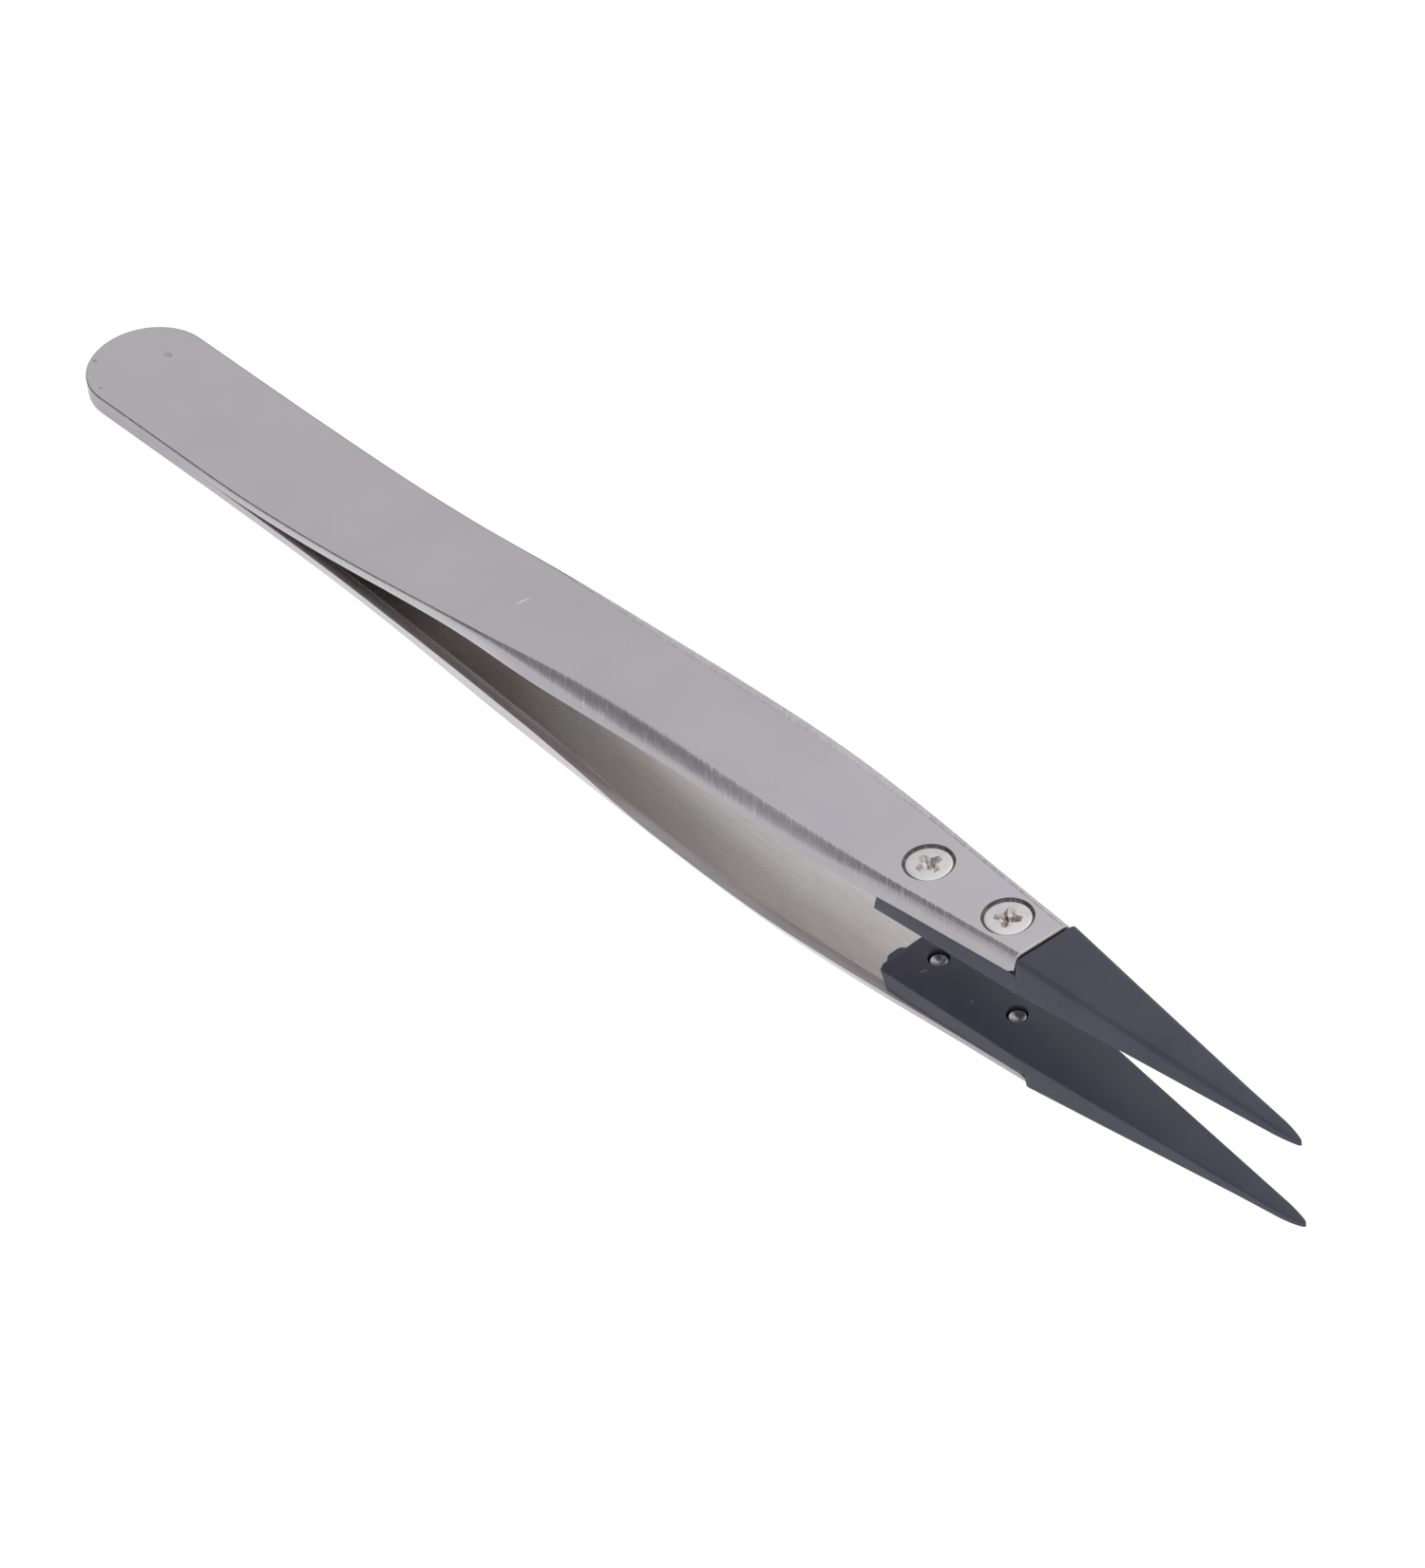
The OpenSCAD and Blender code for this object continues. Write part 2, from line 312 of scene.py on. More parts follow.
def round_corner(p, before, after, radius, n):
    """Points that round the corner p of an outline between its neighbours."""
    p, before, after = Vector(p), Vector(before), Vector(after)
    u, v = (before - p).normalized(), (after - p).normalized()
    half = u.angle(v) / 2
    most = min((before - p).length * CORNER_SHARE, (after - p).length * CORNER_SHARE)
    reach = min(radius / math.tan(half), most)
    a, b = p + u * reach, p + v * reach
    points = []
    for i in range(n + 1):
        t = i / n
        q = (1 - t) ** 2 * a + 2 * t * (1 - t) * p + t ** 2 * b
        points.append((q.x, q.y))
    return points


# Strips
# steps round the bend, down the lip, up the inner wall, across a flat face and round the tail
ARC_STEPS, FACE_STEPS, WALL_STEPS, FLAT_STEPS, TAIL_STEPS = 14, 6, 7, 8, 24
# distance between sections, and the distances from the front edge of the last ones
STATION = 0.5
FRONT_LEN = 0.7
FRONT_STATIONS = (0.6, 0.45, 0.35, 0.27, 0.2)
# rounds of the lip's outer corner, at the front and at the tail, and the stretch on which it grows
CORNER_R, TAIL_CORNER_R, CORNER_GROW = 0.05, 0.03, 4
FRONT_CORNER_R = 0.62
# a strip of flat face beside each bend, so that its shading starts at the bend
FLAT_KEEP = 0.04
# shares of the model's edge radius and of the bend's radius by which the flat face is narrower
EDGE_SHARE, BEND_SHARE = 0.42, 0.542
LEAST_LIP = 0.05
# change of tilt, in radians, under which a lip counts as straight
LIP_STRAIGHT = 0.01
# tilts in degrees over which the polishing strokes and their painted dark reflection come and go, and how
# much of them goes
STROKES_FROM, STROKES_TO, STROKES_LOST = (3, 12), (48, 72), 0.8
# a bend with a radius under these gets painted shade as a countersink's wall does, up to this share
SHARP_BEND, SHARP_SHADE = (0.2, 0.5), 0.45
# wear of the inner corner: everywhere, on the grip and at the front
WORN, WORN_GRIP, WORN_FRONT, WORN_UP = 0.02, 0.06, 0.03, 0.02
WORN_GRIP_FROM, WORN_GRIP_TO, WORN_FRONT_FROM = (58.5, 60.5), (63, 65.5), (98, 101)
# round between the inner wall and the inner face, and its growth with the wall's height
FLOOR_ROUND, FLOOR_ROUND_GROWTH = 0.05, 0.08
# round of the cut front edge, on the outside and all round, and where it fades above the lip's end
FRONT_ROUND, END_ROUND, ROUND_FADE = 0.16, 0.03, (0.4, 0.15)
ROUND_ANGLES = (30, 60, 90)
# the strips' front edges are cut a little askew, from this place on
FRONT_SKEW, SKEW_FROM = 0.062, 95
# countersunk holes: room for the shank, broken rim and reach of the cutter above and below the face
HOLE_GAP, BREAK, BREAK_TOP, CUT_ABOVE, CUT_BELOW = 0.12, 0.03, 0.04, 0.6, 1.6
SINK_SEGMENTS = 96
# how far beyond a countersink and from the faces its points are looked for
SINK_MARGIN, FACE_MARGIN = 0.06, 0.02
# zones of a strip's points: weights of the bend, the inner face, the ground edge and the countersinks; the
# bend carries the strokes' painted dark reflection, the countersinks painted shade
PLAIN, INNER, GROUND, SINK = (0, 0, 0, 0), (0, 1, 0, 0), (0, 0, 1, 0), (0, 0, 0, 1)


def turned_edge(x, lag=0.0):
    """Bend radius, turning angle, depth and lip's share of the angle at x, with their changes eased."""
    xs = [key[0] for key in TURNED_EDGE]
    key_x = x - lag * ease(x, *LAG_FROM) * (1 - ease(x, *LAG_TO))
    near = np.linspace(key_x - EDGE_BLUR, key_x + EDGE_BLUR, BLUR_SAMPLES)
    radius, angle, depth, curl = (
        float(np.mean(np.interp(near, xs, [key[k] for key in TURNED_EDGE]))) for k in (1, 2, 3, 4)
    )
    past = x - (STRIP_LEN - FRONT_CORNER_R)
    if past > 0:
        depth -= FRONT_CORNER_R - math.sqrt(max(FRONT_CORNER_R ** 2 - past ** 2, 0))
    if x < FLANGE_X:
        depth = SHEET_T
    return radius, math.radians(angle), depth, math.radians(curl)


def lip_point(first, last, u):
    """Distance out and depth at the share u of a lip of length 1 whose tilt grows from first to last."""
    tilt = mix(first, last, u)
    if last - first < LIP_STRAIGHT:
        return u * math.cos(tilt), u * math.sin(tilt)
    turn = last - first
    return (math.sin(tilt) - math.sin(first)) / turn, (math.cos(first) - math.cos(tilt)) / turn


def stroke_weight(tilt):
    """How strongly the polishing strokes and their painted dark reflection show on a part of the bend with
    this tilt, in degrees.
    """
    return ease(tilt, *STROKES_FROM) * (1 - STROKES_LOST * ease(tilt, *STROKES_TO))


def bend_start(x, lag=0.0):
    """Half width of the flat outer face, how far the edge reaches beyond it, and the lip's length.

    The flat face ends where the bend keeps the outline of the model's rounder edge.
    """
    radius, angle, depth, curl = turned_edge(x, lag)
    start = half_w(x) - EDGE_SHARE * edge_r(x) - BEND_SHARE * radius
    first = angle - curl
    out, down = lip_point(first, angle, 1)
    face = max(depth - radius * (1 - math.cos(first)), LEAST_LIP) / down
    reach = radius * math.sin(first) + face * out
    return min(start, TAIL_W / 2 - reach), reach, face


def curve(a, corner, b, steps):
    """Points of a quadratic curve from a to b, pulled towards the corner."""
    points = []
    for i in range(steps + 1):
        u = i / steps
        points.append(tuple(
            (1 - u) ** 2 * p + 2 * u * (1 - u) * c + u ** 2 * q for p, c, q in zip(a, corner, b)
        ))
    return points


def half_profile(x, lag=0.0):
    """Half of a strip's section as (distance in from its side, depth below its outer face), with zones.

    It runs from the flat outer face round the turned edge to the flat inner face.
    """
    radius, angle, _, curl = turned_edge(x, lag)
    _, reach, face = bend_start(x, lag)
    first = angle - curl
    points, zones = [(reach + FLAT_KEEP, 0)], [PLAIN]
    for a in np.linspace(0, first, ARC_STEPS + 1):
        points.append((reach - radius * math.sin(a), radius * (1 - math.cos(a))))
        weight = stroke_weight(math.degrees(a))
        zones.append((weight, 0, 0, SHARP_SHADE * weight * (1 - ease(radius, *SHARP_BEND))))
    foot = points[-1]

    def on_lip(u):
        out, down = lip_point(first, angle, u)
        return foot[0] - face * out, foot[1] + face * down

    for k in range(1, FACE_STEPS + 1):
        u = (1 - CORNER_R / face) * k / FACE_STEPS
        points.append(on_lip(u))
        zones.append((stroke_weight(math.degrees(first + curl * u)) * (1 - k / FACE_STEPS), 0, 0, 0))
    corner = on_lip(1)
    along = (-math.cos(angle), math.sin(angle))
    across = (math.sin(angle), math.cos(angle))

    def at(edge_u, up):
        return (
            corner[0] + across[0] * edge_u - along[0] * up,
            corner[1] + across[1] * edge_u - along[1] * up,
        )

    small = mix(TAIL_CORNER_R, CORNER_R, ease(x, FLANGE_X, FLANGE_X + CORNER_GROW))
    points += curve(at(0, CORNER_R), corner, at(small, 0), 4)[1:]
    zones += [PLAIN] * 2 + [GROUND] * 2
    points.append(at(SHEET_T / 2, 0))
    zones.append(GROUND)
    inner_corner = at(SHEET_T, 0)
    on_grip = ease(x, *WORN_GRIP_FROM) - ease(x, *WORN_GRIP_TO)
    worn = WORN + WORN_GRIP * on_grip + WORN_FRONT * ease(x, *WORN_FRONT_FROM)
    points += curve(at(SHEET_T - worn, 0), inner_corner, at(SHEET_T, WORN_UP), 3)
    zones += [GROUND] * 2 + [INNER] * 2
    rise = max(inner_corner[1] - SHEET_T, 0.0)
    meet = (inner_corner[0] + rise / math.tan(angle), SHEET_T)
    floor_from = meet[0] + FLOOR_ROUND + FLOOR_ROUND_GROWTH * rise
    points += curve(at(SHEET_T, WORN_UP), meet, (floor_from, SHEET_T), WALL_STEPS)[1:]
    points.append((floor_from + FLAT_KEEP, SHEET_T))
    zones += [INNER] * (WALL_STEPS + 1)
    return points, zones


def strip_stations(lag):
    """(x, half width, inward direction) along a strip, from the tail's rearmost point to the front."""
    r = TAIL_W / 2
    stations = []
    for i in range(TAIL_STEPS + 1):
        a = math.radians(90 * i / TAIL_STEPS)
        stations.append((r - r * math.cos(a), r * math.sin(a), (math.cos(a), -math.sin(a))))
    xs = list(np.arange(r + STATION, STRIP_LEN - FRONT_LEN, STATION))
    xs += [STRIP_LEN - back_by for back_by in (*FRONT_STATIONS, FRONT_ROUND)]
    for x in xs:
        start, reach, _ = bend_start(x, lag)
        stations.append((x, start + reach, (0, -1)))
    return stations


def strip_ring(x, w, inward, lag):
    """Points of one section and their zones."""
    profile, side_zones = half_profile(x, lag)
    z = outer_z(x)
    skew = FRONT_SKEW * ease(x, SKEW_FROM, STRIP_LEN)
    side = [(x + inward[0] * d, w + inward[1] * d, z - depth) for d, depth in profile]
    outer, inner = side[0], side[-1]
    # over the flat outer face from -y to +y, round the edge and back over the inner face
    points, zones = [], []
    for i in range(1, FLAT_STEPS):
        points.append((outer[0], outer[1] * (2 * i / FLAT_STEPS - 1), outer[2]))
        zones.append(PLAIN)
    points += side
    zones += side_zones
    for i in range(1, FLAT_STEPS):
        points.append((inner[0], inner[1] * (1 - 2 * i / FLAT_STEPS), inner[2]))
        zones.append(INNER)
    points += [(p[0], -p[1], p[2]) for p in reversed(side)]
    zones += side_zones[::-1]
    return [(px + skew * py, py, pz) for px, py, pz in points], zones


def front_faces(n):
    """Faces of the cut front end: quads between the two flat faces and one face for each turned edge."""
    flat = FLAT_STEPS - 1
    inner = n // 2
    faces = [(k, k + 1, inner + flat - 2 - k, inner + flat - 1 - k) for k in range(flat - 1)]
    faces.append(tuple(range(flat - 1, inner + 1)))
    faces.append((*range(inner + flat - 1, n), 0))
    return faces


def front_ring(end, end_zones, lip_depth, a):
    """Ring of the rounded front edge at the angle a of its round, from the last full section."""
    face_z = outer_z(STRIP_LEN - FRONT_ROUND)
    fade_from, fade_to = (lip_depth - above for above in ROUND_FADE)
    ring = []
    for j, (x, y, z) in enumerate(end):
        before, after = end[j - 1], end[(j + 1) % len(end)]
        ty, tz = after[1] - before[1], after[2] - before[2]
        size = math.hypot(ty, tz) or 1
        _, inner, ground, _ = end_zones[j]
        share = 0 if inner or ground else 1 - ease(face_z - z, fade_from, fade_to)
        inset = mix(END_ROUND, FRONT_ROUND, share) * (1 - math.cos(a))
        ring.append((x + FRONT_ROUND * math.sin(a), y + inset * tz / size, z - inset * ty / size))
    return ring


def sink_cutter(x, mirrored):
    """Cutter for a countersunk hole with a broken rim."""
    hole_r = SHANK_R + HOLE_GAP
    profile = [
        (0, CUT_ABOVE),
        (SINK_R + CUT_ABOVE + BREAK, CUT_ABOVE),
        (SINK_R + BREAK, BREAK_TOP),
        (SINK_R - BREAK, -BREAK),
        (hole_r, hole_r - SINK_R),
        (hole_r, -CUT_BELOW),
        (0, -CUT_BELOW),
    ]
    return lathe(profile, "cutter", (x, 0, outer_z(x)), FRONT_ANGLE, SINK_SEGMENTS, mirrored)


def make_strip(name, mirrored):
    """One strip with its turned edges, rounded front edge and countersunk holes."""
    rings, zones = [], []
    lag = LOWER_LAG if mirrored else 0.0
    for station in strip_stations(lag):
        points, weights = strip_ring(*station, lag)
        rings.append(points)
        zones.append(weights)
    end, end_zones = rings[-1], zones[-1]
    lip_depth = turned_edge(STRIP_LEN - FRONT_ROUND, lag)[2]
    for a in np.radians(ROUND_ANGLES):
        rings.append(front_ring(end, end_zones, lip_depth, a))
        zones.append([GROUND] * len(end))
    obj = skin(rings, name, mirrored, STRIP_SHARP_ANGLE, zones, front_faces(len(end)))
    for x in SCREW_XS:
        boolean(obj, sink_cutter(x, mirrored), "DIFFERENCE", STRIP_SHARP_ANGLE)
    mark_sinks(obj, -1 if mirrored else 1)
    return obj


def screw_axis(x, sign):
    """Where a screw's axis meets the outer face, and its outward direction, in the model's frame."""
    return in_model((x, 0, sign * outer_z(x))), model_direction((-tand(FRONT_ANGLE), 0, sign))


def from_axis(point, axis, out):
    """Height of a point above the outer face and its distance from a screw's axis, in mm."""
    away = point - axis
    return away.dot(out) * 1000, (away - out * away.dot(out)).length * 1000


def mark_sinks(obj, sign):
    """Marks the walls of the countersinks in the zones, for painted shade, and puts their rims back in the
    plain ones.
    """
    colours = obj.data.attributes["zone"].data
    for x in SCREW_XS:
        axis, out = screw_axis(x, sign)
        for v in obj.data.vertices:
            height, radius = from_axis(v.co, axis, out)
            if radius < SINK_R + SINK_MARGIN:
                wall = SINK if height > FACE_MARGIN - SHEET_T else INNER
                colours[v.index].color = PLAIN if height > -FACE_MARGIN else wall


# Tips
# points round each corner, and rings along the seat, the point and the nose
TIP_STEPS, SEAT_RINGS, POINT_RINGS, NOSE_RINGS = 6, 40, 40, 12
# the back stands out by this much and leans forward, and the lean fades over this stretch
BACK_OUT, BACK_LEAN, LEAN_FADE = 0.3, 0.32, (1, 6)
BACK_CUT_X, BACK_CUT_Y = 0.3, 0.55
# rounded back edge: (distance forward, inset)
BACK_ROUND = ((0.0, 0.09), (0.03, 0.03), (0.1, 0.0), (BACK_CUT_X, 0.0))
# depth of the shoulders below the strips' outer faces, room beside the tongue, and rounds of the seat
SHOULDER_DEPTH, TONGUE_GAP = 1.42, 0.3
SHOULDER_R, NOTCH_R, TONGUE_R = 0.05, 0.06, 0.1
# step in front of the strip, where the bare point starts: (distance forward, pull) of its round
STEP_GAP, STEP_ROUND = 0.22, 0.07
STEP_RINGS = ((0, STEP_ROUND), (0.02, STEP_ROUND * 0.3))
# rounds of the point, and the shares of its half width that they may take
JAW_EDGE_R, RIDGE_R = 0.14, 0.46
JAW_EDGE_SHARE, RIDGE_SHARE = 0.3, 0.6
# shares of the point's side at which the shoulder's line and the points above it lie
LIP_AT, LIP_HALF, SIDE_FROM, SIDE_TO = 0.5, 0.04, 0.6, 0.95
# turn of the nose's round, its thickness at the end, and how far it stays behind the model's end
NOSE_TURN, NOSE_THIN, NOSE_GAP = 84, 0.62, 0.01
# stretches over which the front edge's skew comes and goes on a tip
TIP_SKEW_FROM, TIP_SKEW_TO = (97, 104), (107, 114)
# screw holes: clearance, top of the cutter, depth and size of the flare at the jaw face
BORE_GAP, BORE_TOP, FLARE_DEPTH, FLARE, BORE_SEGMENTS = 0.05, 2, 3.02, 0.5, 48
# trimmed moulding gate: (distance forward from the back, y) round it, (height, inset) of its layers
GATE_OUTLINE = (
    (0.6, -2.85), (0.02, -2.75), (-0.31, -2.4), (-0.36, -2.2),
    (-0.36, -1.4), (-0.29, -1.15), (0.0, -0.95), (0.6, -0.9),
)
GATE_LAYERS = ((0.02, 0.06), (0.07, 0.0), (0.8, 0.0), (0.9, 0.1))
GATE_Y, GATE_FREE = -1.85, 0.1


def half_outline(corners, radii):
    """Rounds the corners of the +y half of an outline that is closed by its mirror image."""
    chain = [(0, corners[0][1]), *corners, (0, corners[-1][1])]
    points = []
    for k in range(1, len(chain) - 1):
        points += round_corner(chain[k], chain[k - 1], chain[k + 1], radii[k - 1], TIP_STEPS)
    return points


def lip_z(x):
    """Height of a tip's shoulders, under the turned edges."""
    return outer_z(min(x, STRIP_LEN)) - SHOULDER_DEPTH


def seat_outline(x, inset=0.0, cut=0.0):
    """Half outline of a tip's seat: a block below the turned edges and a tongue between them."""
    low, lip = jaw_z(x) + inset, lip_z(x) - inset
    wide = tip_half_w(x) - inset - cut
    full = point_z(STRIP_LEN) - jaw_z(STRIP_LEN)
    lean = TIP_DRAFT * (lip - low) / full * ease(x, TIP_BACK_X, STRIP_LEN)
    tongue_w = half_w(min(x, STRIP_LEN)) - SHEET_T - TONGUE_GAP - inset
    top = outer_z(x) - SHEET_T - SEAT_GAP - inset
    corners = [(wide, low), (wide - lean, lip), (tongue_w, lip), (tongue_w, top)]
    return half_outline(corners, (JAW_EDGE_R, SHOULDER_R, NOTCH_R, TONGUE_R))


def point_outline(x, round_by=1.0, pull=0.0):
    """Half outline of a tip's bare point, with as many points as the seat's.

    round_by is 1 before the nose and falls towards 0 at its end; pull draws the upper part in.
    """
    wide = tip_half_w(x) * round_by
    low = jaw_z(x)
    thick = (point_z(x) - low) * mix(NOSE_THIN, 1, round_by)
    draft = TIP_DRAFT * round_by * tip_half_w(x) / (TIP_W / 2)
    edge, ridge = (wide, low), (wide - draft, low + thick)
    lower = round_corner(edge, (0, low), ridge, min(JAW_EDGE_R, wide * JAW_EDGE_SHARE), TIP_STEPS)
    upper = round_corner(ridge, edge, (0, low + thick), min(RIDGE_R, wide * RIDGE_SHARE), TIP_STEPS)
    a, b = lower[-1], upper[0]
    lip = (LIP_AT - LIP_HALF, LIP_AT + LIP_HALF)
    spots = list(np.linspace(*lip, TIP_STEPS + 1))
    spots += list(np.linspace(SIDE_FROM, SIDE_TO, TIP_STEPS + 1))
    side = [(mix(a[0], b[0], u), mix(a[1], b[1], u)) for u in spots]
    if pull:
        side = [(y - pull * ease(u, *lip), z) for u, (y, z) in zip(spots, side)]
        upper = [(y - pull, z - pull * k / TIP_STEPS) for k, (y, z) in enumerate(upper)]
    return lower + side + upper


def whole_ring(x, half, lean=0.0):
    """Ring through a half outline and its mirror image; lean carries its upper points forward."""
    low = half[0][1]
    skew = FRONT_SKEW * ease(x, *TIP_SKEW_FROM) * (1 - ease(x, *TIP_SKEW_TO))
    ring = [(x + lean * (z - low), y, z) for y, z in half]
    ring += [(px, -y, z) for px, y, z in reversed(ring)]
    return [(px + skew * y, y, z) for px, y, z in ring]


def tip_rings():
    """Rings of a tip from its back over the seat and the step to the end of the nose."""
    back_x = TIP_BACK_X - BACK_OUT
    step_x = STRIP_LEN + STEP_GAP
    point_x = step_x + STEP_ROUND
    nose_x = LENGTH - TIP_NOSE - NOSE_GAP
    rings = []
    for dx, inset in BACK_ROUND:
        cut = BACK_CUT_Y * (1 - dx / BACK_CUT_X)
        rings.append(whole_ring(back_x + dx, seat_outline(back_x + dx, inset, cut), BACK_LEAN))
    for i in range(1, SEAT_RINGS + 1):
        x = mix(back_x + BACK_CUT_X, step_x, i / SEAT_RINGS)
        lean = BACK_LEAN * (1 - ease(x, *(back_x + dx for dx in LEAN_FADE)))
        rings.append(whole_ring(x, seat_outline(x), lean))
    for dx, pull in STEP_RINGS:
        rings.append(whole_ring(step_x + dx, point_outline(step_x, 1, pull)))
    rings.append(whole_ring(point_x, point_outline(point_x)))
    for i in range(1, POINT_RINGS + 1):
        x = mix(point_x, nose_x, i / POINT_RINGS)
        rings.append(whole_ring(x, point_outline(x)))
    last = math.radians(NOSE_TURN)
    for i in range(1, NOSE_RINGS + 1):
        a = last * i / NOSE_RINGS
        x = nose_x + TIP_NOSE * math.sin(a) / math.sin(last)
        rings.append(whole_ring(x, point_outline(x, math.cos(a))))
    return rings


def bore_cutter(x, mirrored):
    """Cutter for a screw's hole in a tip, which flares out past the jaw face."""
    bore_r = SHANK_R + BORE_GAP
    shank_end = -SCREW_LEN - HEAD_DROP - BORE_GAP
    profile = [(0, BORE_TOP), (bore_r, BORE_TOP), (bore_r, shank_end), (PILOT_R, shank_end)]
    flare_end = -FLARE_DEPTH - FLARE
    profile += [(PILOT_R, -FLARE_DEPTH), (PILOT_R + FLARE, flare_end), (0, flare_end)]
    return lathe(profile, "cutter", (x, 0, outer_z(x)), FRONT_ANGLE, BORE_SEGMENTS, mirrored)


def make_tip(name, mirrored):
    """One tip with its moulding gate and its screw holes."""
    obj = skin(tip_rings(), name, mirrored)
    boolean(obj, make_gate(mirrored), "UNION")
    for x in SCREW_XS:
        boolean(obj, bore_cutter(x, mirrored), "DIFFERENCE")
    return obj


def make_gate(mirrored):
    """Trimmed moulding gate on a tip's back, with its free edges rounded."""
    back_x = TIP_BACK_X - BACK_OUT
    rings = []
    for height, inset in GATE_LAYERS:
        z = jaw_z(back_x) + height
        rings.append([
            (back_x + dx + inset * (dx < GATE_FREE), mix(y, GATE_Y, inset), z) for dx, y in GATE_OUTLINE
        ])
    return skin(rings, "gate", mirrored)


# Screws
# (name, place, turn of the recess in degrees) of a strip's screws
SCREWS = (("rear", SCREW_XS[0], -9), ("front", SCREW_XS[1], 34))
HEAD_R, HEAD_DEPTH, SCREW_END, SCREW_SEGMENTS = 1.69, 0.165, 2.78, 64
# slightly domed head: (radius, height above its rim)
DOME = ((0, 0.03), (HEAD_R * 0.55, 0.022), (HEAD_R - 0.25, 0.005))
# round of the rim, its angles in radians and its points, and the land below it
RIM_R, RIM_ANGLES, RIM_POINTS, RIM_LAND, RIM_TAPER = 0.06, (0.2, 1.5), 5, 0.08, 0.01
# neck below the head, start of the thread, and the thread itself
NECK_DROP, THREAD_GAP = 0.16, 0.05
PITCH, THREAD_DEPTH, THREAD_STOP = 0.4, 0.2, 0.5
# cupped end: (radius, height above the end)
CUP = (
    (SHANK_R - 0.22, 0.20), (SHANK_R - 0.36, 0.02), (SHANK_R - 0.44, 0),
    (SHANK_R - 0.50, 0.02), (0.22, 0.20), (0, 0.22),
)
# cross recess: reach and half breadth of its arms, its inner corners, its depth
RECESS_L, RECESS_B, RECESS_C, RECESS_DEPTH = 0.98, 0.24, 0.40, 0.85
# sections of the recess: (share of its length, share of its breadth, height)
RECESS_RINGS = (
    (1.15, 1.35, 0.31),
    (1, 1, -HEAD_DEPTH),
    (0.62, 0.62, -HEAD_DEPTH - RECESS_DEPTH * 0.6),
    (0.2, 0.3, -HEAD_DEPTH - RECESS_DEPTH),
)
# heights between which the points of the recess lie
RECESS_FROM, RECESS_TO = -HEAD_DEPTH - RECESS_DEPTH - 0.1, -HEAD_DEPTH - 0.05


def screw_profile():
    """Half section of a screw: domed head with a rounded rim, neck, thread and cupped end."""
    top = -HEAD_DEPTH
    profile = [(r, top + up) for r, up in DOME]
    for a in np.linspace(*RIM_ANGLES, RIM_POINTS):
        profile.append((HEAD_R - RIM_R + RIM_R * math.sin(a), top - RIM_R + RIM_R * math.cos(a)))
    neck_z = top - (HEAD_R - SHANK_R) - NECK_DROP
    profile += [(HEAD_R - RIM_TAPER, top - RIM_R - RIM_LAND), (SHANK_R, neck_z)]
    z = neck_z - THREAD_GAP
    while z > THREAD_STOP - SCREW_END:
        profile += [(SHANK_R, z), (SHANK_R - THREAD_DEPTH, z - PITCH / 2)]
        z -= PITCH
    return profile + [(r, up - SCREW_END) for r, up in CUP]


def recess_cutter(at, spin, mirrored):
    """Cutter for a cross recess that narrows downwards."""
    rings = []
    for long, broad, z in RECESS_RINGS:
        length, b, c = RECESS_L * long, RECESS_B * broad, RECESS_C * broad
        ring = []
        for quarter in range(4):
            a = math.radians(spin + 90 * quarter)
            for px, py in ((length, -b), (length, b), (c, c)):
                v = (px * math.cos(a) - py * math.sin(a), px * math.sin(a) + py * math.cos(a), z)
                ring.append(place(v, at, FRONT_ANGLE))
        rings.append(ring)
    return skin(rings, "cutter", mirrored)


def make_screw(name, x, spin, mirrored):
    """Countersunk screw with a cross recess."""
    at = (x, 0, outer_z(x))
    obj = lathe(screw_profile(), name, at, FRONT_ANGLE, SCREW_SEGMENTS, mirrored)
    boolean(obj, recess_cutter(at, spin, mirrored), "DIFFERENCE")
    mark_screw(obj, x, -1 if mirrored else 1)
    return obj


def mark_screw(obj, x, sign):
    """Marks a screw's recess and its shank in the zones."""
    colours = obj.data.attributes.new("zone", "FLOAT_COLOR", "POINT").data
    axis, out = screw_axis(x, sign)
    for v in obj.data.vertices:
        height, radius = from_axis(v.co, axis, out)
        recess = radius < RECESS_L and RECESS_FROM < height < RECESS_TO
        colours[v.index].color = (recess, height < RECESS_FROM, 0, 0)


# Materials
# values between which most of a noise lies, and the shares of a spot at which it fades
NOISE_MID = (0.3, 0.7)
SPOT_FADE = (0.4, 1.0)


def nodes_of(name):
    """A new material with its node tree and its shader."""
    material = bpy.data.materials.new(name)
    material.use_nodes = True
    tree = material.node_tree
    return material, tree, tree.nodes["Principled BSDF"]


def add(tree, kind, **values):
    """A new node with values for its inputs or its settings."""
    node = tree.nodes.new(kind)
    for key, value in values.items():
        if key in node.inputs:
            node.inputs[key].default_value = value
        else:
            setattr(node, key, value)
    return node


def mapped(tree, where, location, size, turn):
    """Coordinates around a location, in shares of a size along each axis, turned about z."""
    node = add(
        tree, "ShaderNodeMapping", vector_type="TEXTURE",
        Location=location, Rotation=(0, 0, math.radians(turn)), Scale=size,
    )
    tree.links.new(where, node.inputs["Vector"])
    return node.outputs["Vector"]


def noise(tree, where, scale, stretch=(1, 1, 1), turn=0.0, detail=3.0):
    """Noise of the piece's own coordinates, in metres, turned about z and drawn out along an axis."""
    node = add(tree, "ShaderNodeTexNoise", Scale=scale, Detail=detail)
    tree.links.new(mapped(tree, where, (0, 0, 0), stretch, turn), node.inputs["Vector"])
    return node.outputs["Fac"]


def remap(tree, value, low, high, to_low, to_high):
    """A value brought from one range to another and held at its ends."""
    node = add(tree, "ShaderNodeMapRange")
    for name, end in zip(("From Min", "From Max", "To Min", "To Max"), (low, high, to_low, to_high)):
        node.inputs[name].default_value = end
    tree.links.new(value, node.inputs["Value"])
    return node.outputs["Result"]


def maths(tree, operation, a, b):
    """Result of an operation on two values, of which the second may be a number."""
    node = add(tree, "ShaderNodeMath", operation=operation)
    tree.links.new(a, node.inputs[0])
    if isinstance(b, (int, float)):
        node.inputs[1].default_value = b
    else:
        tree.links.new(b, node.inputs[1])
    return node.outputs[0]


def product(tree, a, b):
    return maths(tree, "MULTIPLY", a, b)


